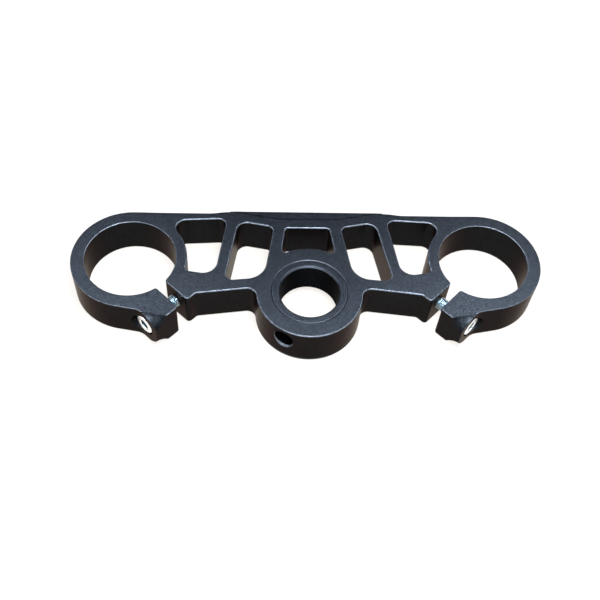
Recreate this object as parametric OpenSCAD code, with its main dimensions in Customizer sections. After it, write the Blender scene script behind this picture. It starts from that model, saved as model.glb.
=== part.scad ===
// Upper triple clamp (top yoke) of a motorcycle front fork.
//
// One machined aluminium plate carries everything: a split ring round each
// fork leg with a clamp screw across the slit, three ribs and five windows
// between them, and a round boss that holds the steering-stem bush.
//
// The origin is on the stem axis at mid-thickness of the plate, level with
// the axes of both clamp screws. +Z is up along the stem, +Y points from the
// stem to the fork legs, and the clamp screws are on the -Y side.

/* [Fork clamps] */
// Distance between the axes of the two fork legs
fork_spacing = 212; // [206:1:220]
// Distance of the fork axes in front of the stem axis
stem_offset = 23.2; // [22:0.1:25]
// Diameter of the fork bores
fork_bore_d = 54; // [50:0.5:56]
// Wall of the clamp rings
ring_wall = 8; // [7:0.5:10]
// Width of the slit through each ring
slit_w = 7; // [5:0.2:8]

/* [Plate] */
// Thickness of the plate
plate_t = 24.5; // [24:0.5:27]
// How far the stem boss stands out below the plate
boss_drop = 1; // [0.5:0.1:2]
// Distance of the straight rear edge behind the fork axes
rear_edge = 35; // [34:0.5:36]
// How far the middle of the rear edge swells outward
rear_swell = 1.25; // [0.8:0.05:1.5]
// Height of the low pad along the middle of the rear edge
pad_h = 0.7; // [0.4:0.1:1]
// Chamfer at the mouths of the bores
edge_c = 0.55; // [0.3:0.05:0.8]

/* [Stem] */
// Diameter of the boss round the stem
boss_d = 63; // [61:0.5:64]
// Outside diameter of the stem bush
bush_d = 45; // [44:0.5:46]
// Bore of the stem bush
bush_bore_d = 35; // [32:0.5:36]
// Length of the stem bush
bush_l = 21; // [19:0.5:22]
// Diameter of the cross hole through the boss wall
cross_d = 12; // [10:0.5:13]
// Height of the cross hole above mid-thickness
cross_z = 2.7; // [0:0.1:3]

/* [Clamp screws] */
// Thread diameter of the screws
screw_d = 8; // [7:0.5:9]
// Length of the screws under the head
screw_l = 30; // [28:1:32]
// Diameter of the screw heads
head_d = 13; // [12:0.5:13.5]
// Height of the screw heads
head_h = 8; // [7:0.5:8]
// Width across the flats of the hexagon sockets
socket_af = 6; // [5:0.5:6.5]
// Distance of the screw axis from the fork axis
screw_t = 34.6; // [34:0.1:35.5]

/* [Hidden] */
$fn = 128;
e = 1;                                   // overrun of the cutting tools
k = 0.01;                                // how far a curve runs past its tangent line
top_z = plate_t/2;                       // top face of the plate
boss_z = -top_z - boss_drop;             // underside of the boss
fork = [-fork_spacing/2, stem_offset];   // left fork axis in plan
bore_r = fork_bore_d/2;
ring_r = bore_r + ring_wall;
boss_r = boss_d/2;
rear_y = stem_offset + rear_edge - k;    // straight part of the rear edge
swell_y = rear_y + rear_swell;           // middle part of the rear edge

// Lug frame: t runs from the fork axis along the slit, n across it.
lug_t = 45.8;      // end faces of both lugs
seat_n = -20.8;    // outer face of the lug, level with the screw head
slit_n = slit_w/2;
floor_n = seat_n + head_h;               // floor of the counterbore
relief_r = 13;     // hollow radius of the flared relief round the screw seat

black = [0.13, 0.14, 0.16];
dark_bush = [0.16, 0.17, 0.19];
zinc = [0.74, 0.76, 0.78];

// ---------------------------------------------------------------- plan maths

function unit(v) = v/norm(v);
function dot(a, b) = a[0]*b[0] + a[1]*b[1];
// Point t along and n across the left slit, as a plan point
function lug(t, n) = fork + [t + n, n - t]*sqrt(0.5);
// Crossing of the line through a and b with the line through c and d
function meet(a, b, c, d) =
    let (u = b - a, v = d - c, w = c - a)
    a + u*(w[0]*v[1] - w[1]*v[0])/(u[0]*v[1] - u[1]*v[0]);
// Round corner of radius r at p, between the sides towards a and b:
// [first tangent point, second tangent point, centre, radius]
function corner(a, p, b, r) =
    let (u = unit(a - p), v = unit(b - p), h = acos(dot(u, v))/2)
    [p + u*r/tan(h), p + v*r/tan(h), p + unit(u + v)*r/sin(h), r];
// Round corner of radius r between the line from a to b and the outside of
// the disc of radius q round m. The corner lies to the left of the line, and
// s picks the crossing ahead of (1) or behind (-1) the disc's centre:
// [tangent point on the line, tangent point on the disc, centre, radius]
function disc_corner(a, b, m, q, r, s) =
    let (d = unit(b - a), k = [-d[1], d[0]], g = a + k*r - m,
         w = dot(g, d), c = m + g + d*(-w + s*sqrt(w*w - dot(g, g) + (q + r)*(q + r))))
    [c - k*r, m + unit(c - m)*q, c, r];
// Points of the arc round m from angle a to angle b, in n steps from step k
function arc(m, r, a, b, n, k = 0) = [for (i = [k:n]) m + r*[cos(a + (b - a)*i/n), sin(a + (b - a)*i/n)]];
function flipped(pts) = [for (i = [len(pts) - 1:-1:0]) [-pts[i][0], pts[i][1]]];

module discs(corners) { for (c = corners) translate(c[2]) circle(c[3] + k); }
// The same as a sector, for a corner whose full disc would reach too far
module sector(c) {
    u = unit(c[0] - c[1])*1.5;
    intersection() {
        translate(c[2]) circle(c[3] + k);
        polygon([c[2], c[0] + u + unit(c[0] - c[2])*0.5, (c[0] + c[1])*1.5 - c[2]*2,
                 c[1] - u + unit(c[1] - c[2])*0.5]);
    }
}
module both() { children(); mirror([1, 0, 0]) children(); }

// ---------------------------------------------------------------- outline

// Straight flank that leaves the ring beside the screw head
flank_a = -100.6;
flank_p = fork + (ring_r - k)*[cos(flank_a), sin(flank_a)];
flank_q = flank_p + [-sin(flank_a), cos(flank_a)];
seat_c = corner(flank_p, meet(flank_p, flank_q, lug(30, seat_n), lug(46, seat_n)), lug(lug_t, seat_n), 10);

// Front edge of the bar between lug and boss
bar_a = [-64.5, -1.7];
bar_b = [-40, 1.4];
bar_p = meet(bar_a, bar_b, lug(lug_t, 3), lug(lug_t, 10));
lug_c = corner(lug(lug_t, slit_n), bar_p, bar_b, 3);
boss_c = disc_corner(bar_b, bar_a, [0, 0], boss_r, 5.3, 1);

// Rounded ends of the slit
lip_o = corner(lug(lug_t, seat_n), lug(lug_t, -slit_n), lug(20, -slit_n), 2.2);
lip_i = corner(lug(20, slit_n), lug(lug_t, slit_n), bar_p, 2.2);
// Rounded corners where the slit opens into the bore
mouth_o = disc_corner(lug(40, -slit_n), lug(20, -slit_n), fork, bore_r, 1.5, -1);
mouth_i = disc_corner(lug(20, slit_n), lug(40, slit_n), fork, bore_r, 1.5, 1);

// The rear edge swells outward through two opposed arcs
swell_x = 47.5;
swell_run = 7;
swell_r = (swell_run*swell_run + rear_swell*rear_swell/4)/rear_swell;
swell_w = asin(swell_run/swell_r);

half_outline = concat(
    arc([-swell_x, swell_y - swell_r], swell_r, 90, 90 + swell_w, 6),
    arc([-swell_x - 2*swell_run, rear_y + swell_r], swell_r, swell_w - 90, -90, 6, 1),
    [[fork[0], rear_y], flank_p, seat_c[0], seat_c[1],
     lug(lug_t, seat_n), lug_c[0], lug_c[1], boss_c[0], boss_c[1]]);
slit = [fork, mouth_o[1], mouth_o[0], lip_o[1], lip_o[0], lug(lug_t + e, -slit_n - 2.2),
        lug(lug_t + e, slit_n + 2.2), lip_i[1], lip_i[0], mouth_i[0], mouth_i[1]];

module outline() {
    difference() {
        union() {
            polygon(concat(half_outline, flipped(half_outline)));
            circle(boss_r);
            both() translate(fork) circle(ring_r);
        }
        both() {
            discs([seat_c, lug_c, boss_c]);
            polygon(slit);
        }
    }
    both() discs([lip_o, lip_i, mouth_o, mouth_i]);
}

// ---------------------------------------------------------------- windows

// Window beside the ring
wa_r = ring_r - 1.4;
wa_rear = [[-73.3, 52.62], [-55.3, 53.65]];
wa_side = [[-50.64, 45.6], [-54.4, 21.2]];
wa_front = [[-61.9, 12.7], [-68.3, 13.75]];
wa_p = meet(wa_rear[0], wa_rear[1], wa_side[0], wa_side[1]);
wa_q = meet(wa_side[0], wa_side[1], wa_front[0], wa_front[1]);
wa_c = [corner(wa_rear[0], wa_p, wa_q, 4.5), corner(wa_p, wa_q, wa_front[1], 8.4)];
wa_f = disc_corner(wa_front[1], wa_front[0], fork, wa_r, 2.5, 1);
wa_b = disc_corner(wa_rear[1], wa_rear[0], fork, wa_r, 6, -1);

module window_outer() {
    difference() {
        polygon([wa_b[0], wa_b[1], fork, wa_f[1], wa_f[0], wa_c[1][1], wa_c[1][0], wa_c[0][1], wa_c[0][0]]);
        translate(fork) circle(wa_r);
    }
    discs([wa_b, wa_f, wa_c[0], wa_c[1]]);
}

// Window between the two ribs
wb = let (o = [[-49.14, 12.4], [-43.44, 44.0]], r = [[-36.36, 50.92], [-24.36, 48.47]],
          i = [[-21.41, 43.7], [-23.9, 28.4]], f = [[-34.5, 9.3], [-43.48, 8.3]])
    [meet(o[0], o[1], r[0], r[1]), meet(r[0], r[1], i[0], i[1]),
     meet(i[0], i[1], f[0], f[1]), meet(f[0], f[1], o[0], o[1])];
wb_c = [corner(wb[3], wb[0], wb[1], 6.4), corner(wb[0], wb[1], wb[2], 4),
        corner(wb[1], wb[2], wb[3], 12.5), corner(wb[2], wb[3], wb[0], 4)];

module window_inner() {
    polygon([for (c = wb_c) each [c[0], c[1]]]);
    discs([wb_c[0], wb_c[1], wb_c[3]]);
    sector(wb_c[2]);
}

// Window in the middle, bounded in front by the boss
wc_y = 47.15;
wc_side = [[-13.7, 44.6], [-15.5, 32.4]];
wc_p = meet([0, wc_y], [1, wc_y], wc_side[0], wc_side[1]);
wc_c = corner([0, wc_y], wc_p, wc_side[1], 2.5);
wc_f = disc_corner(wc_side[0], wc_side[1], [0, 0], boss_r, 2, -1);
wc_half = [wc_c[0], wc_c[1], wc_f[0], wc_f[1]];

module window_centre() {
    difference() {
        polygon(concat(wc_half, flipped(wc_half)));
        circle(boss_r);
    }
    both() discs([wc_c, wc_f]);
}

// ---------------------------------------------------------------- rear pad

pad_y = 53.85;
pad_x = 18;
pad_r = 18;
pad_side = [-40, 58.4];
pad_a = atan((pad_side[1] - pad_y)/(-pad_side[0] - pad_x));
pad_half = concat([[-swell_x, swell_y], pad_side],
    arc([-pad_x + pad_r*tan(pad_a/2), pad_y + pad_r], pad_r, -90 - pad_a, -90, 4));

module rear_pad() { polygon(concat(pad_half, flipped(pad_half))); }

// ---------------------------------------------------------------- tools

// Bore of radius r from z0 to z1 with chamfers c0 and c1 at its mouths
module bore(r, z0, z1, c0, c1) {
    translate([0, 0, z0 - e]) cylinder(h = z1 - z0 + 2*e, r = r);
    if (c0 > 0) translate([0, 0, z0 - e]) cylinder(h = c0 + e, r1 = r + c0 + e, r2 = r);
    if (c1 > 0) translate([0, 0, z1 - c1]) cylinder(h = c1 + e, r1 = r, r2 = r + c1 + e);
}

// Puts its children on the left screw axis, z along n from the slit's middle
module at_screw() {
    translate(fork) rotate([0, 0, -45])
        translate([screw_t, 0, 0]) rotate([-90, 0, 0]) children();
}

// Everything that is cut square to the slit of the left clamp
module screw_cuts() {
    at_screw() {
        // counterbore for the head, run out past the ring as a flute
        translate([0, 0, -60]) cylinder(h = 60 + floor_n, d = head_d + 1.6);
        // clearance hole in the outer lug and tapped hole in the inner lug
        translate([0, 0, floor_n - e]) cylinder(h = e - floor_n, d = screw_d + 1);
        translate([0, 0, -e]) cylinder(h = 20, d = screw_d);
        // trumpet-shaped relief that leaves a round seat at the screw head
        intersection() {
            translate([0, 0, seat_n - 1]) rotate_extrude() translate([relief_r + plate_t/2 - 0.05, 0]) circle(relief_r);
            translate([0, -30, -50]) cube([45, 60, 50]);
        }
    }
}

// ---------------------------------------------------------------- parts

module yoke() {
    color(black) difference() {
        union() {
            translate([0, 0, -top_z]) linear_extrude(plate_t) outline();
            translate([0, 0, boss_z]) cylinder(h = boss_drop + 4, r = boss_r);
            translate([0, 0, top_z - 2]) linear_extrude(2 + pad_h) rear_pad();
        }
        translate([0, 0, boss_z - e]) linear_extrude(plate_t + boss_drop + 2*e) {
            both() { window_outer(); window_inner(); }
            window_centre();
        }
        both() {
            translate(fork) bore(bore_r, -top_z, top_z, edge_c, edge_c);
            screw_cuts();
        }
        // bush seat, with a shoulder under the bush
        bore(bush_d/2 - 1.5, boss_z, top_z, edge_c, 0);
        translate([0, 0, top_z - bush_l]) cylinder(h = bush_l + e, d = bush_d);
        translate([0, 0, top_z - 0.3]) cylinder(h = 0.3 + e, d1 = bush_d, d2 = bush_d + 0.6 + 2*e);
        // cross hole through the boss wall, beside the left bar
        rotate([0, 0, -120]) translate([0, 0, cross_z]) rotate([0, 90, 0]) {
            translate([0, 0, 18]) cylinder(h = 20, d = cross_d);
            translate([0, 0, boss_r - 1.1]) cylinder(h = 2, d1 = cross_d, d2 = cross_d + 4);
        }
    }
}

module stem_bush() {
    ro = bush_d/2;
    ri = bush_bore_d/2;
    color(dark_bush) translate([0, 0, top_z - bush_l]) rotate_extrude()
        polygon([[ri, 0.5], [ri + 0.5, 0], [ro - 0.5, 0], [ro, 0.5], [ro, bush_l - 0.5],
                 [ro - 0.5, bush_l], [ri + 1.2, bush_l], [ri, bush_l - 1.2]]);
}

// Socket-head cap screw, head face at z = 0 and thread towards +z
module cap_screw() {
    difference() {
        rotate_extrude() polygon([[0, 0], [head_d/2 - 0.7, 0], [head_d/2, 0.7], [head_d/2, head_h],
            [screw_d/2 - 0.05, head_h], [screw_d/2 - 0.05, head_h + screw_l - 1],
            [screw_d/2 - 0.9, head_h + screw_l], [0, head_h + screw_l]]);
        // hexagon socket
        translate([0, 0, -e]) linear_extrude(e + 4.2)
            polygon([for (i = [0:5]) socket_af/sqrt(3)*[cos(60*i), sin(60*i)]]);
    }
}

module clamp_screw_left() {
    color(zinc) at_screw() translate([0, 0, seat_n]) cap_screw();
}

module clamp_screw_right() {
    color(zinc) mirror([1, 0, 0]) at_screw() translate([0, 0, seat_n]) cap_screw();
}

yoke();
stem_bush();
clamp_screw_left();
clamp_screw_right();
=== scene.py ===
import bpy, bmesh, math
from mathutils import Vector, Matrix, geometry


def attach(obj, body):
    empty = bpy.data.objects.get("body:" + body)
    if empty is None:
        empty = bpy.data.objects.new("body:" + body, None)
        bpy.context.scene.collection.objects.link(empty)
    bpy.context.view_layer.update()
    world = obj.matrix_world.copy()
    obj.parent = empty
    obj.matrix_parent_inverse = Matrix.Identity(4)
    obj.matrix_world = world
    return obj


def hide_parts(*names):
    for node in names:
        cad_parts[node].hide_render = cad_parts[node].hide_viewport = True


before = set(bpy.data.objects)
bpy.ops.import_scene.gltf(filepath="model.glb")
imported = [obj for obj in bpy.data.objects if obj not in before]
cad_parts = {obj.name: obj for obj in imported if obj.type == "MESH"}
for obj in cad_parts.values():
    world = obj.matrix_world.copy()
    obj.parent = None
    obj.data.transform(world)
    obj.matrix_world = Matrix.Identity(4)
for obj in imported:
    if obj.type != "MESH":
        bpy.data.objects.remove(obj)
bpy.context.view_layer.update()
MM = 0.001

# ---------------------------------------------------------------- plan maths
# The plan of the yoke, in millimetres, follows the same dimensions as the CAD
# model. Every outline is sampled finely here so that its rims can be chamfered.
S2 = math.sqrt(0.5)
SPACING, OFFSET = 212.0, 23.2
BORE_R, RING_R, BOSS_R, BUSH_R = 27.0, 35.0, 31.5, 22.5
TOP, BOSS_Z, PAD_Z = 12.25, -13.25, 12.95
FORK = Vector((-SPACING / 2, OFFSET))
REAR_Y, SWELL_Y = OFFSET + 35.0, OFFSET + 35.0 + 1.25
SLIT_N, LUG_T, SEAT_N, SCREW_T = 3.5, 45.8, -20.8, 34.6
HEAD_H, HEAD_D = 8.0, 13.0
FLOOR_N = SEAT_N + HEAD_H


def V2(p):
    return Vector((p[0], p[1]))


def lug(t, n):
    return FORK + Vector(((t + n) * S2, (n - t) * S2))


def meet(a, b, c, d):
    a, b, c, d = V2(a), V2(b), V2(c), V2(d)
    u, v, w = b - a, d - c, c - a
    return a + u * ((w[0] * v[1] - w[1] * v[0]) / (u[0] * v[1] - u[1] * v[0]))


def corner(a, p, b, r):
    a, p, b = V2(a), V2(p), V2(b)
    u, v = (a - p).normalized(), (b - p).normalized()
    h = math.acos(max(-1, min(1, u.dot(v)))) / 2
    return (p + u * (r / math.tan(h)), p + v * (r / math.tan(h)), p + (u + v).normalized() * (r / math.sin(h)), r)


def disc_corner(a, b, m, q, r, s):
    a, b, m = V2(a), V2(b), V2(m)
    d = (b - a).normalized()
    k = Vector((-d[1], d[0]))
    g = a + k * r - m
    w = g.dot(d)
    c = m + g + d * (-w + s * math.sqrt(w * w - g.dot(g) + (q + r) ** 2))
    return (c - k * r, m + (c - m).normalized() * q, c, r)


def arc(m, r, a, b, seg=1.0, amax=8.0):
    """Points of an arc from angle a to angle b, in degrees."""
    n = max(2, int(math.ceil(max(abs(b - a) / amax, abs(math.radians(b - a)) * r / seg))))
    return [Vector((m[0] + r * math.cos(math.radians(a + (b - a) * i / n)),
                    m[1] + r * math.sin(math.radians(a + (b - a) * i / n)))) for i in range(n + 1)]


def short_arc(c, rev=False, seg=1.0):
    """The corner arc of c from its first to its second tangent point, the short way."""
    p, q = (c[1], c[0]) if rev else (c[0], c[1])
    a = math.degrees(math.atan2(p[1] - c[2][1], p[0] - c[2][0]))
    b = math.degrees(math.atan2(q[1] - c[2][1], q[0] - c[2][0]))
    while b - a > 180:
        b -= 360
    while b - a < -180:
        b += 360
    return arc(c[2], c[3], a, b, seg)


def ang(p, m):
    return math.degrees(math.atan2(p[1] - m[1], p[0] - m[0]))


def clean(pts, close=True, eps=1e-4):
    out = []
    for p in pts:
        if not out or (p - out[-1]).length > eps:
            out.append(p)
    if close and (out[0] - out[-1]).length <= eps:
        out.pop()
    return out


def flip(pts):
    return [Vector((-p[0], p[1])) for p in reversed(pts)]


def split_long(pts, most=6.0):
    """Cuts long straight edges so that shading and chamfers stay even."""
    out = []
    for i, p in enumerate(pts):
        q = pts[(i + 1) % len(pts)]
        n = max(1, int((q - p).length // most))
        out += [p + (q - p) * (j / n) for j in range(n)]
    return out


def inset(pts, d):
    """Moves a closed loop into the material, which lies to its left."""
    out, n = [], len(pts)
    for i in range(n):
        e1 = (pts[i] - pts[i - 1]).normalized()
        e2 = (pts[(i + 1) % n] - pts[i]).normalized()
        n1, n2 = Vector((-e1[1], e1[0])), Vector((-e2[1], e2[0]))
        m = (n1 + n2).normalized()
        out.append(pts[i] + m * (d[i] if isinstance(d, list) else d) / max(0.3, m.dot(n1)))
    return out


# Outline of the left half, from the middle of the rear edge round to the front
FLANK = -100.6
flank_p = FORK + RING_R * Vector((math.cos(math.radians(FLANK)), math.sin(math.radians(FLANK))))
flank_q = flank_p + Vector((-math.sin(math.radians(FLANK)), math.cos(math.radians(FLANK))))
seat_c = corner(flank_p, meet(flank_p, flank_q, lug(30, SEAT_N), lug(46, SEAT_N)), lug(LUG_T, SEAT_N), 10)
bar_a, bar_b = Vector((-64.5, -1.7)), Vector((-40, 1.4))
bar_p = meet(bar_a, bar_b, lug(LUG_T, 3), lug(LUG_T, 10))
lug_c = corner(lug(LUG_T, SLIT_N), bar_p, bar_b, 3)
boss_c = disc_corner(bar_b, bar_a, (0, 0), BOSS_R, 5.3, 1)
lip_o = corner(lug(LUG_T, SEAT_N), lug(LUG_T, -SLIT_N), lug(20, -SLIT_N), 2.2)
lip_i = corner(lug(20, SLIT_N), lug(LUG_T, SLIT_N), bar_p, 2.2)
mouth_o = disc_corner(lug(40, -SLIT_N), lug(20, -SLIT_N), FORK, BORE_R, 1.5, -1)
mouth_i = disc_corner(lug(20, SLIT_N), lug(40, SLIT_N), FORK, BORE_R, 1.5, 1)
run, sw = 7.0, 1.25
sw_r = (run * run + sw * sw / 4) / sw
sw_w = math.degrees(math.asin(run / sw_r))

half = [Vector((0, SWELL_Y))]
half += arc((-47.5, SWELL_Y - sw_r), sw_r, 90, 90 + sw_w)
half += arc((-61.5, REAR_Y + sw_r), sw_r, sw_w - 90, -90)
half += arc(FORK, RING_R, 90, 360 + FLANK)
half += short_arc(seat_c)
half += [lug(LUG_T, SEAT_N)]
half += short_arc(lip_o, seg=0.5)
half += short_arc(mouth_o, seg=0.4)
a0, a1 = ang(mouth_o[1], FORK), ang(mouth_i[1], FORK)
while a1 > a0:
    a1 -= 360
half += arc(FORK, BORE_R, a0, a1)
half += short_arc(mouth_i, rev=True, seg=0.4)
half += short_arc(lip_i, seg=0.5)
half += short_arc(lug_c)
half += short_arc(boss_c)
a0 = ang(boss_c[1], (0, 0))
half += arc((0, 0), BOSS_R, a0, -90)
outline = clean(half + flip(half))

# Windows, walked clockwise so that the metal is on their left
wa_r = RING_R - 1.4
wa_rear = (Vector((-73.3, 52.62)), Vector((-55.3, 53.65)))
wa_side = (Vector((-50.64, 45.6)), Vector((-54.4, 21.2)))
wa_front = (Vector((-61.9, 12.7)), Vector((-68.3, 13.75)))
wa_p = meet(*wa_rear, *wa_side)
wa_q = meet(*wa_side, *wa_front)
wa_1 = corner(wa_rear[0], wa_p, wa_q, 4.5)
wa_2 = corner(wa_p, wa_q, wa_front[1], 8.4)
wa_f = disc_corner(wa_front[1], wa_front[0], FORK, wa_r, 2.5, 1)
wa_b = disc_corner(wa_rear[1], wa_rear[0], FORK, wa_r, 6, -1)
win_a = clean(short_arc(wa_1) + short_arc(wa_2) + short_arc(wa_f, seg=0.6)
              + arc(FORK, wa_r, ang(wa_f[1], FORK), ang(wa_b[1], FORK)) + short_arc(wa_b, rev=True))
wb_o, wb_r = (Vector((-49.14, 12.4)), Vector((-43.44, 44.0))), (Vector((-36.36, 50.92)), Vector((-24.36, 48.47)))
wb_i, wb_f = (Vector((-21.41, 43.7)), Vector((-23.9, 28.4))), (Vector((-34.5, 9.3)), Vector((-43.48, 8.3)))
wb = [meet(*wb_o, *wb_r), meet(*wb_r, *wb_i), meet(*wb_i, *wb_f), meet(*wb_f, *wb_o)]
win_b = clean(sum((short_arc(corner(wb[i - 1], wb[i], wb[(i + 1) % 4], r))
                   for i, r in enumerate((6.4, 4.0, 12.5, 4.0))), []))
wc_side = (Vector((-13.7, 44.6)), Vector((-15.5, 32.4)))
wc_p = meet((0, 47.15), (1, 47.15), *wc_side)
wc_c = corner((0, 47.15), wc_p, wc_side[1], 2.5)
wc_f = disc_corner(wc_side[0], wc_side[1], (0, 0), BOSS_R, 2, -1)
wc_half = short_arc(wc_c, seg=0.6) + short_arc(wc_f, seg=0.6)
a0 = ang(wc_f[1], (0, 0))
wc_left = list(reversed(wc_half))                       # from the boss to the rear edge
win_c = clean(wc_left + flip(wc_left) + arc((0, 0), BOSS_R, 180 - a0, a0))


def area(p):
    return sum(p[i - 1][0] * q[1] - q[0] * p[i - 1][1] for i, q in enumerate(p)) / 2


def clockwise(p):
    return list(reversed(p)) if area(p) > 0 else p


holes = [clockwise(win_a), clockwise(flip(win_a)), clockwise(win_b), clockwise(flip(win_b)), clockwise(win_c)]
outline = split_long(outline)
holes = [split_long(h) for h in holes]

# ---------------------------------------------------------------- mesh helpers


body_mat = bpy.data.materials.new("anodised_black")
edge_mat = bpy.data.materials.new("anodised_edge")


def new_obj(name, bm, scale=MM):
    me = bpy.data.meshes.new(name)
    me.materials.append(body_mat)
    me.materials.append(edge_mat)
    bm.normal_update()
    bm.to_mesh(me)
    bm.free()
    me.transform(Matrix.Scale(scale, 4))
    ob = bpy.data.objects.new(name, me)
    bpy.context.scene.collection.objects.link(ob)
    return ob


def band(bm, rings, rim=()):
    """Joins rings of vertices that have the same count; the bands numbered in rim take the edge finish."""
    for k, (lo, hi) in enumerate(zip(rings, rings[1:])):
        n = len(lo)
        for i in range(n):
            j = (i + 1) % n
            bm.faces.new((lo[i], lo[j], hi[j], hi[i])).material_index = 1 if k in rim else 0


# Chamfer profile: (how far in, how far down) from the rim's sharp corner
RIM = [(0.60, 0.0), (0.44, 0.05), (0.05, 0.44), (0.0, 0.60)]


def rim_size(p):
    """The fork rings and the outer lugs are only lightly broken; every other rim has the full chamfer."""
    q = Vector((-abs(p[0]), p[1])) - FORK
    outer = (q[0] + q[1]) * S2 < -1.0
    return 0.6 if outer else 0.6 + 0.4 * min(1.0, max(0.0, (q.length - 35.3) / 2.5))


def plate():
    bm = bmesh.new()
    tops, bottoms = [], []
    for loop in [outline] + holes:
        # the boss wall runs on below the plate, so it has no chamfer there
        low = [0.0 if abs(p.length - BOSS_R) < 0.02 else 1.0 for p in loop]
        size = [rim_size(p) if loop is outline else 1.0 for p in loop]
        rings = []
        for d, z in RIM:
            pts = inset(loop, [d * w * k for w, k in zip(low, size)])
            rings.append([bm.verts.new((p[0], p[1], -TOP + z * k)) for p, k in zip(pts, size)])
        for d, z in reversed(RIM):
            pts = inset(loop, [d * k for k in size])
            rings.append([bm.verts.new((p[0], p[1], TOP - z * k)) for p, k in zip(pts, size)])
        band(bm, rings, (0, 1, 2, 4, 5, 6))
        bottoms.append(rings[0])
        tops.append(rings[-1])
    for caps, up in ((tops, True), (bottoms, False)):
        flat = [v for r in caps for v in r]
        tris = geometry.tessellate_polygon([[v.co.copy() for v in r] for r in caps])
        for t in tris:
            vs = [flat[i] for i in t]
            n = (vs[1].co - vs[0].co).cross(vs[2].co - vs[0].co)
            if n.length < 1e-9:
                pass
            if (n.z > 0) != up:
                vs.reverse()
            try:
                bm.faces.new(vs)
            except ValueError:
                pass
    bmesh.ops.recalc_face_normals(bm, faces=bm.faces)
    return new_obj("tool_plate", bm)


def revolve(name, profile, steps=192, place=None, rim=()):
    """Closed body of revolution about z. The profile is (radius, z) pairs; radius 0 makes a pole."""
    bm = bmesh.new()
    rings = []
    for r, z in profile:
        if r <= 1e-9:
            rings.append([bm.verts.new((0, 0, z))])
        else:
            rings.append([bm.verts.new((r * math.cos(2 * math.pi * i / steps), r * math.sin(2 * math.pi * i / steps), z))
                          for i in range(steps)])
    pairs = list(zip(rings, rings[1:]))
    if profile[0][0] > 1e-9 and profile[-1][0] > 1e-9:
        pairs.append((rings[-1], rings[0]))
    for k, (lo, hi) in enumerate(pairs):
        for i in range(steps):
            j = (i + 1) % steps
            if len(lo) == 1:
                f = bm.faces.new((lo[0], hi[j], hi[i]))
            elif len(hi) == 1:
                f = bm.faces.new((lo[i], lo[j], hi[0]))
            else:
                f = bm.faces.new((lo[i], lo[j], hi[j], hi[i]))
            f.material_index = 1 if k in rim else 0
    bmesh.ops.recalc_face_normals(bm, faces=bm.faces)
    if place is not None:
        bm.transform(place)
    return new_obj(name, bm)


def box_obj(name, lo, hi, place=None):
    bm = bmesh.new()
    bmesh.ops.create_cube(bm, size=1.0)
    for v in bm.verts:
        for i in range(3):
            v.co[i] = lo[i] if v.co[i] < 0 else hi[i]
    if place is not None:
        bm.transform(place)
    return new_obj(name, bm)


def boolean(ob, other, how):
    m = ob.modifiers.new("cut", "BOOLEAN")
    m.operation = how
    m.solver = "MANIFOLD"
    m.object = other
    dg = bpy.context.evaluated_depsgraph_get()
    me = bpy.data.meshes.new_from_object(ob.evaluated_get(dg))
    ob.modifiers.clear()
    old = ob.data
    ob.data = me
    bpy.data.meshes.remove(old)
    drop(other)
    return ob


def drop(ob):
    me = ob.data
    bpy.data.objects.remove(ob)
    bpy.data.meshes.remove(me)


def side(s):
    """Placement of the screw frame: s = -1 left clamp, s = 1 right clamp. z runs along the screw towards its tip."""
    t = Vector((S2 * -s, -S2, 0)) if s < 0 else Vector((-S2, -S2, 0))
    n = Vector((S2, S2, 0)) if s < 0 else Vector((-S2, S2, 0))
    o = Vector((FORK[0] * -s if s > 0 else FORK[0], FORK[1], 0)) + t * SCREW_T
    y = n.cross(t)
    m = Matrix((t, y, n)).transposed().to_4x4()
    m.translation = o
    return m



# ---------------------------------------------------------------- yoke


def prism(name, loop, z0, z1):
    bm = bmesh.new()
    rings = [[bm.verts.new((p[0], p[1], z)) for p in loop] for z in (z0, z1)]
    band(bm, rings)
    bm.faces.new(rings[1])
    bm.faces.new(list(reversed(rings[0])))
    bmesh.ops.recalc_face_normals(bm, faces=bm.faces)
    return new_obj(name, bm)


yoke = plate()
R = BOSS_R - 0.01
foot = revolve("tool_foot", [(0, BOSS_Z), (R - 0.60, BOSS_Z), (R - 0.44, BOSS_Z + 0.05), (R - 0.05, BOSS_Z + 0.44),
                             (R, BOSS_Z + 0.60), (R, -TOP + 0.3), (0, -TOP + 0.3)], rim=(1, 2, 3))
for loop in holes[2:4]:
    boolean(foot, prism("tool_window", loop, BOSS_Z - 1, 0), "DIFFERENCE")
boolean(yoke, foot, "UNION")


def ease(x):
    x = min(1.0, max(0.0, x))
    return x * x * (3 - 2 * x)


def pad():
    """The low pad along the middle of the rear edge; only its rear rim is chamfered."""
    y0, x0, r, sx, sy = 53.85, 18.0, 18.0, 40.0, 58.4
    a = math.degrees(math.atan((sy - y0) / (sx - x0)))
    front = arc((-x0 + r * math.tan(math.radians(a / 2)), y0 + r), r, -90 - a, -90)
    slope = (SWELL_Y - sy) / (47.5 - sx)
    bm = bmesh.new()
    rings = []
    for z, d in [(TOP - 1.5, 0.0)] + [(PAD_Z - z, d) for d, z in reversed(RIM)]:
        y = SWELL_Y - 0.005 - d
        left = [Vector((-sx - (y - sy) / slope, y)), Vector((-sx, sy))] + front
        pts = left + flip(left)
        rings.append([bm.verts.new((p[0], p[1], z)) for p in pts])
    band(bm, rings, (1, 2, 3))
    bm.faces.new(rings[-1])
    bm.faces.new(list(reversed(rings[0])))
    bmesh.ops.recalc_face_normals(bm, faces=bm.faces)
    return new_obj("tool_pad", bm)


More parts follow.
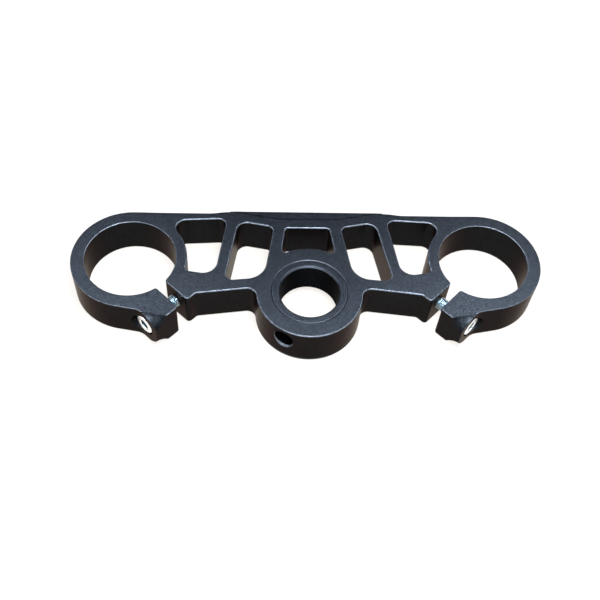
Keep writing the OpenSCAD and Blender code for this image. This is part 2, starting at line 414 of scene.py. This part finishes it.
def wedge(s):
    """Cutter that lets the pad run out to nothing at one end."""
    bm = bmesh.new()
    rings = [[bm.verts.new((s * x, y, z)) for x, z in ((36.0, PAD_Z + 0.03), (37.5, PAD_Z - 0.01), (48.0, TOP - 0.06), (60.0, TOP - 0.9), (60.0, 16.0), (36.0, 16.0))]
             for y in (40.0, 70.0)]
    band(bm, rings)
    bm.faces.new(list(reversed(rings[0])))
    bm.faces.new(rings[-1])
    bmesh.ops.recalc_face_normals(bm, faces=bm.faces)
    return new_obj("tool_wedge", bm)


raised = pad()
boolean(raised, wedge(-1), "DIFFERENCE")
boolean(raised, wedge(1), "DIFFERENCE")
boolean(yoke, raised, "UNION")
boolean(yoke, revolve("tool_bore", [(0, BOSS_Z - 1), (22.55, BOSS_Z - 1), (21.0, BOSS_Z + 0.55), (21.0, TOP - 21), (BUSH_R, TOP - 21),
                                    (BUSH_R, TOP - 0.35), (BUSH_R + 1.35, TOP + 1), (0, TOP + 1)], 256, rim=(1, 5)), "DIFFERENCE")

for s in (-1, 1):
    m = side(s)
    # flared relief that leaves a round seat at the screw head; its edge on the plate runs straight to the lug's corner
    low = m.copy()
    low.translation = m.translation + Vector((0, 0, -0.4))
    ring = revolve("tool_ring", [(25.2 + 13 * math.cos(math.radians(3.75 * i)), SEAT_N - 1.4 + 13 * math.sin(math.radians(3.75 * i))) for i in range(96)], 256, low)
    field = [m @ Vector((t, 0, n)) for t, n in ((-2.9, -22.15), (12.0, -11.45), (45.0, -11.45), (45.0, -60.0), (-2.9, -60.0))]
    boolean(ring, prism("tool_field", [Vector((p[0], p[1])) for p in field], -30, 30), "INTERSECT")
    boolean(yoke, ring, "DIFFERENCE")
    # counterbore, clearance hole and tapped hole
    boolean(yoke, revolve("tool_screw", [(0, -60), (7.3, -60), (7.3, FLOOR_N), (4.5, FLOOR_N), (4.5, 0), (4.0, 0), (4.0, 18), (0, 20)], 96, m),
            "DIFFERENCE")
d = Vector((math.cos(math.radians(-120)), math.sin(math.radians(-120)), 0))
m = Matrix((Vector((0, 0, 1)).cross(d) * -1, Vector((0, 0, 1)), d)).transposed()
if m.determinant() < 0:
    m = Matrix((Vector((0, 0, 1)).cross(d), Vector((0, 0, 1)), d)).transposed()
m = m.to_4x4()
m.translation = Vector((0, 0, 2.7))
boolean(yoke, revolve("tool_cross", [(0, 18), (6, 18), (6, 30.4), (8, 32.4), (8, 40), (0, 40)], 96, m, rim=(2,)), "DIFFERENCE")


def finish_mesh(ob, angle=34.0, weighted=True):
    me = ob.data
    bm = bmesh.new()
    bm.from_mesh(me)
    bmesh.ops.remove_doubles(bm, verts=bm.verts, dist=2e-7)
    bmesh.ops.dissolve_degenerate(bm, edges=bm.edges, dist=1e-7)
    # spikes that a cut has folded flat: their tip joins only two edges
    tips = [v for v in bm.verts if len(v.link_edges) == 2]
    if tips:
        bmesh.ops.dissolve_verts(bm, verts=tips)
    bmesh.ops.recalc_face_normals(bm, faces=bm.faces)
    lim = math.radians(angle)
    for f in bm.faces:
        f.smooth = True
    for e in bm.edges:
        if len(e.link_faces) == 2:
            e.smooth = e.calc_face_angle(0.0) < lim
    bm.to_mesh(me)
    bm.free()
    if weighted:
        w = ob.modifiers.new("normals", "WEIGHTED_NORMAL")
        w.mode = "FACE_AREA"
        w.keep_sharp = True
        w.weight = 80


finish_mesh(yoke)
yoke.name = "yoke_body"

# ---------------------------------------------------------------- stem bush
z0 = TOP - 21
bush = revolve("stem_bush_body", [
    (18.0, z0), (22.0, z0), (22.49, z0 + 0.5), (22.49, TOP - 0.62), (22.40, TOP - 0.45), (22.0, TOP - 0.06), (21.85, TOP),
    (18.60, TOP), (18.46, TOP - 0.04), (17.56, TOP - 0.86), (17.50, TOP - 1.00), (17.50, z0 + 0.55), (17.56, z0 + 0.40)], 256,
    rim=(1, 3, 4, 5, 7, 8, 9, 11))
finish_mesh(bush)

# ---------------------------------------------------------------- clamp screws


def cap_screw(name, s):
    m = side(s)
    m.translation = m.translation + m.to_3x3() @ Vector((0, 0, SEAT_N))
    r = HEAD_D / 2
    head = revolve("tool_head", [(0, 0), (r - 0.85, 0), (r - 0.62, 0.05), (r - 0.28, 0.22), (r - 0.07, 0.50), (r, 0.80),
                                 (r, HEAD_H - 0.2), (r - 0.2, HEAD_H), (0, HEAD_H)], 96, m)
    bm = bmesh.new()
    hexa = [Vector((6 / math.sqrt(3) * math.cos(math.radians(60 * i + 17)), 6 / math.sqrt(3) * math.sin(math.radians(60 * i + 17)), 0)) for i in range(6)]
    rings = [[bm.verts.new((p[0], p[1], z)) for p in hexa] for z in (-1, 4.0)]
    band(bm, rings)
    bm.faces.new(list(reversed(rings[0])))
    tip = bm.verts.new((0, 0, 5.4))
    for i in range(6):
        bm.faces.new((rings[1][i], rings[1][(i + 1) % 6], tip))
    # the socket walls take the second material: darker zinc painted as the shade and reflections inside the socket
    for f in bm.faces:
        f.material_index = 1
    bmesh.ops.recalc_face_normals(bm, faces=bm.faces)
    bm.transform(m)
    boolean(head, new_obj("tool_hex", bm), "DIFFERENCE")
    boolean(head, revolve("tool_lead", [(0, -1), (4.7, -1), (3.2, 0.5), (0, 0.5)], 64, m), "DIFFERENCE")
    # thread: one continuous screw surface from under the head to the tip
    pitch, steps, per = 1.25, 48, 14
    length, major, minor = 30.0, 3.95, 3.25
    rows = int(length / pitch * per)
    bm = bmesh.new()
    rings = []
    for j in range(rows + 1):
        z = length * j / rows
        ring = []
        for i in range(steps):
            ph = (z / pitch - i / steps) % 1.0
            tri = min(1.0, max(0.0, (abs(ph - 0.5) * 2 - 0.12) / 0.70))
            q = minor + (major - minor) * tri
            if z < 1.2:
                q = min(q, major) if z > 1.19 else max(q, major - 0.7 * z / 1.2)
            if z > length - 1.0:
                q = min(q, major - 0.75 * (z - length + 1.0))
            a = 2 * math.pi * i / steps
            ring.append(bm.verts.new((q * math.cos(a), q * math.sin(a), HEAD_H - 0.1 + z * (length + 0.1) / length)))
        rings.append(ring)
    band(bm, rings)
    bm.faces.new(list(reversed(rings[0])))
    bm.faces.new(rings[-1])
    # the thread takes the same darker zinc: painted shade and painted reflection along the thread
    for f in bm.faces:
        f.material_index = 1
    bmesh.ops.recalc_face_normals(bm, faces=bm.faces)
    bm.transform(m)
    boolean(head, new_obj("tool_thread", bm), "UNION")
    finish_mesh(head, 40)
    head.name = name
    return head


screw_l = cap_screw("cap_screw_left", -1)
screw_r = cap_screw("cap_screw_right", 1)

# ---------------------------------------------------------------- materials


def material(mat):
    mat = bpy.data.materials.new(mat) if isinstance(mat, str) else mat
    mat.use_nodes = True
    nt = mat.node_tree
    nt.nodes.clear()
    out = nt.nodes.new("ShaderNodeOutputMaterial")
    b = nt.nodes.new("ShaderNodeBsdfPrincipled")
    nt.links.new(b.outputs[0], out.inputs[0])
    return mat, nt, b


def noise(nt, coord, scale, detail=4.0, rough=0.6):
    n = nt.nodes.new("ShaderNodeTexNoise")
    n.inputs["Scale"].default_value = scale
    n.inputs["Detail"].default_value = detail
    n.inputs["Roughness"].default_value = rough
    nt.links.new(coord, n.inputs["Vector"])
    return n.outputs["Fac"]


def ramp(nt, fac, stops):
    r = nt.nodes.new("ShaderNodeValToRGB")
    el = r.color_ramp.elements
    while len(el) < len(stops):
        el.new(0.5)
    for e, (p, c) in zip(el, stops):
        e.position = p
        e.color = (c[0], c[1], c[2], 1) if isinstance(c, tuple) else (c, c, c, 1)
    nt.links.new(fac, r.inputs[0])
    return r.outputs[0]


def mapr(nt, v, a, b, c, d):
    n = nt.nodes.new("ShaderNodeMapRange")
    for i, x in enumerate((a, b, c, d)):
        n.inputs[i + 1].default_value = x
    nt.links.new(v, n.inputs[0])
    return n.outputs[0]


def anodised(mat, dark, light, rough, tint, coat, coat_rough, grain, wear=None):
    """Dyed, sealed oxide over bead-blasted aluminium: a dark metal under a thin clear layer."""
    mat, nt, b = material(mat)
    tc = nt.nodes.new("ShaderNodeTexCoord").outputs["Object"]
    cloud = noise(nt, tc, 34.0, 3.0, 0.55)
    fine = noise(nt, tc, 1500.0, 3.0, 0.7)
    mid = noise(nt, tc, 420.0, 3.0, 0.6)
    col = ramp(nt, cloud, [(0.30, dark), (0.72, light)])
    mix = nt.nodes.new("ShaderNodeMix")
    mix.data_type = "RGBA"
    mix.blend_type = "MULTIPLY"
    mix.inputs[0].default_value = 1.0
    nt.links.new(col, mix.inputs[6])
    nt.links.new(mapr(nt, fine, 0.26, 0.74, 0.02, 1.98), mix.inputs[7])
    out = mix.outputs[2]
    if wear:
        # handled edges: the dye is burnished away in short patches
        patch = ramp(nt, noise(nt, tc, 260.0, 5.0, 0.7), [(0.42, 0.0), (0.70, 1.0)])
        w = nt.nodes.new("ShaderNodeMix")
        w.data_type = "RGBA"
        nt.links.new(patch, w.inputs[0])
        nt.links.new(out, w.inputs[6])
        w.inputs[7].default_value = (*wear, 1)
        out = w.outputs[2]
    nt.links.new(out, b.inputs["Base Color"])
    nt.links.new(mapr(nt, mid, 0.3, 0.7, rough[0], rough[1]), b.inputs["Roughness"])
    b.inputs["Metallic"].default_value = 1.0
    b.inputs["Specular Tint"].default_value = (*tint, 1)
    b.inputs["Coat Weight"].default_value = coat
    b.inputs["Coat Roughness"].default_value = coat_rough
    b.inputs["Coat IOR"].default_value = 1.08
    bump = nt.nodes.new("ShaderNodeBump")
    bump.inputs["Strength"].default_value = grain
    bump.inputs["Distance"].default_value = 0.00006
    add = nt.nodes.new("ShaderNodeMath")
    add.operation = "ADD"
    nt.links.new(fine, add.inputs[0])
    nt.links.new(mid, add.inputs[1])
    nt.links.new(add.outputs[0], bump.inputs["Height"])
    nt.links.new(bump.outputs[0], b.inputs["Normal"])
    nt.links.new(bump.outputs[0], b.inputs["Coat Normal"])
    return mat


anodised(body_mat, (0.0084, 0.0097, 0.0113), (0.0100, 0.0115, 0.0133), (0.36, 0.46), (0.49, 0.41, 0.32), 0.78, 0.35, 0.40)
anodised(edge_mat, (0.060, 0.065, 0.073), (0.072, 0.078, 0.086), (0.36, 0.46), (0.5, 0.5, 0.5), 0.6, 0.35, 0.2, wear=(0.12, 0.13, 0.145))
bush_edge = bpy.data.materials.new("bush_edge")
anodised(bush_edge, (0.028, 0.031, 0.036), (0.036, 0.040, 0.045), (0.36, 0.46), (0.4, 0.4, 0.4), 0.4, 0.35, 0.2)
bush_mat = bpy.data.materials.new("bush_black")
anodised(bush_mat, (0.0087, 0.0101, 0.0118), (0.0103, 0.0119, 0.0137), (0.34, 0.42), (0.15, 0.10, 0.05), 0.2, 0.35, 0.3)


def plated(name, stops, rough):
    """Zinc plating: a noise runs through the faint colours of its passivation. The darker teal-and-amber set is painted
    shade and painted reflection for the hex socket and the thread.
    """
    mat, nt, b = material(name)
    tc = nt.nodes.new("ShaderNodeTexCoord").outputs["Object"]
    nt.links.new(ramp(nt, noise(nt, tc, 420.0, 4.0, 0.6), stops), b.inputs["Base Color"])
    b.inputs["Metallic"].default_value = 1.0
    nt.links.new(mapr(nt, noise(nt, tc, 1500.0, 3.0), 0.3, 0.7, *rough), b.inputs["Roughness"])
    bump = nt.nodes.new("ShaderNodeBump")
    bump.inputs["Strength"].default_value = 0.3
    bump.inputs["Distance"].default_value = 0.00003
    nt.links.new(noise(nt, tc, 2200.0, 3.0), bump.inputs["Height"])
    nt.links.new(bump.outputs[0], b.inputs["Normal"])
    return mat


zinc = plated("zinc_steel", [(0.30, (0.80, 0.84, 0.86)), (0.50, (0.90, 0.90, 0.88)), (0.70, (0.95, 0.91, 0.82))], (0.22, 0.40))
# painted shade and painted reflection: a darker zinc with teal and amber tints, standing in for the shade inside the
# socket and along the thread and the colours they mirror
zinc_painted_shade = plated("zinc_painted_shade", [(0.30, (0.20, 0.33, 0.40)), (0.50, (0.38, 0.47, 0.52)), (0.70, (0.42, 0.40, 0.30))], (0.26, 0.44))

for ob, node, slot, mats in ((yoke, "yoke", "anodised_black", (body_mat, edge_mat)),
                             (bush, "stem_bush", "bush_black", (bush_mat, bush_edge)),
                             (screw_l, "clamp_screw_left", "zinc_steel", (zinc, zinc_painted_shade)),
                             (screw_r, "clamp_screw_right", "zinc_steel", (zinc, zinc_painted_shade))):
    for i, mat in enumerate(mats):
        ob.data.materials[i] = mat
    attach(ob, "root")
    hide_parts(node)

# ---------------------------------------------------------------- stage
bm = bmesh.new()
bmesh.ops.create_grid(bm, x_segments=1, y_segments=1, size=6.0)
floor = new_obj("floor", bm, 1.0)
floor.location.z = (BOSS_Z - 0.02) * MM
fmat, nt, b = material("floor_paper")
b.inputs["Base Color"].default_value = (0.085, 0.082, 0.078, 1)
b.inputs["Roughness"].default_value = 0.9
b.inputs["Specular IOR Level"].default_value = 0.0
b.inputs["Emission Color"].default_value = (1.0, 0.96, 0.91, 1)
ln = nt.nodes.new("ShaderNodeVectorMath")
ln.operation = "LENGTH"
nt.links.new(nt.nodes.new("ShaderNodeTexCoord").outputs["Object"], ln.inputs[0])
nt.links.new(mapr(nt, ln.outputs["Value"], 0.10, 0.60, 0.84, 1.02), b.inputs["Emission Strength"])
floor.data.materials.clear()
floor.data.materials.append(fmat)

world = bpy.data.worlds.new("world")
bpy.context.scene.world = world
world.use_nodes = True
nt = world.node_tree
bg = nt.nodes["Background"]
bg.inputs[0].default_value = (1.0, 0.99, 0.97, 1)
# the paper runs up behind the part: white at the horizon, dim overhead
xyz = nt.nodes.new("ShaderNodeSeparateXYZ")
nt.links.new(nt.nodes.new("ShaderNodeTexCoord").outputs["Generated"], xyz.inputs[0])
nt.links.new(mapr(nt, xyz.outputs["Z"], 0.06, 0.40, 1.0, 0.08), bg.inputs[1])


def softbox(name, az, el, dist, w, h, power, colour, target=(0, 0.01, 0)):
    """Area light; azimuth 0 is behind the part (+Y), 180 in front."""
    li = bpy.data.lights.new(name, "AREA")
    li.shape = "RECTANGLE"
    li.size, li.size_y = w, h
    li.energy = power
    li.color = colour
    ob = bpy.data.objects.new(name, li)
    bpy.context.scene.collection.objects.link(ob)
    a, e = math.radians(az), math.radians(el)
    p = Vector(target) + dist * Vector((math.sin(a) * math.cos(e), math.cos(a) * math.cos(e), math.sin(e)))
    ob.location = p
    ob.rotation_euler = (Vector(target) - p).to_track_quat("-Z", "Y").to_euler()
    return ob


def near(name, x, y, z, power):
    """A small soft lamp close above the part, aimed at its middle."""
    t = Vector((x * 0.4, 0, 0))
    ob = softbox(name, 0, 45, 1, 0.2, 0.12, power, (0.776, 0.856, 1.0))
    ob.location = Vector((x, y, z))
    ob.rotation_euler = (t - ob.location).to_track_quat("-Z", "Y").to_euler()


softbox("key_front", 184, 38, 1.1, 1.5, 0.3, 17.0, (0.78, 0.88, 1.0))
softbox("side_left", -108, 22, 1.1, 0.6, 0.3, 5.0, (0.78, 0.88, 1.0))
softbox("side_right", 108, 22, 1.1, 0.6, 0.3, 4.0, (0.78, 0.88, 1.0))
near("lamp_middle", 0.0, 0.16, 0.46, 2.36)
near("lamp_left", -0.22, 0.22, 0.44, 2.68)
over = softbox("overhead", 180, 80, 0.5, 0.18, 0.12, 8.0, (0.80, 0.89, 1.0))
over.location = Vector((0.045, -0.11, 0.49))
over.rotation_euler = over.location.to_track_quat("Z", "Y").to_euler()
near("lamp_right", 0.26, 0.22, 0.44, 3.50)

cam_d = bpy.data.cameras.new("camera")
cam = bpy.data.objects.new("camera", cam_d)
bpy.context.scene.collection.objects.link(cam)
right = Vector((0.99838, -0.02507, 0.05099)).normalized()
fwd = Vector((0.05627, 0.56103, -0.82588)).normalized()
down = fwd.cross(right).normalized()
right = down.cross(fwd).normalized()
cm = Matrix((right, -down, -fwd)).transposed().to_4x4()
cm.translation = Vector((-35.30, -299.71, 444.20)) * MM
cam.matrix_world = cm
cam_d.sensor_width = 36.0
cam_d.sensor_height = 36.0
cam_d.sensor_fit = "HORIZONTAL"
cam_d.lens = 36.0 * 901.063 / 600.0
cam_d.clip_start = 0.01
bpy.context.scene.camera = cam
bpy.context.scene.view_settings.view_transform = "Standard"
bpy.context.scene.view_settings.look = "None"
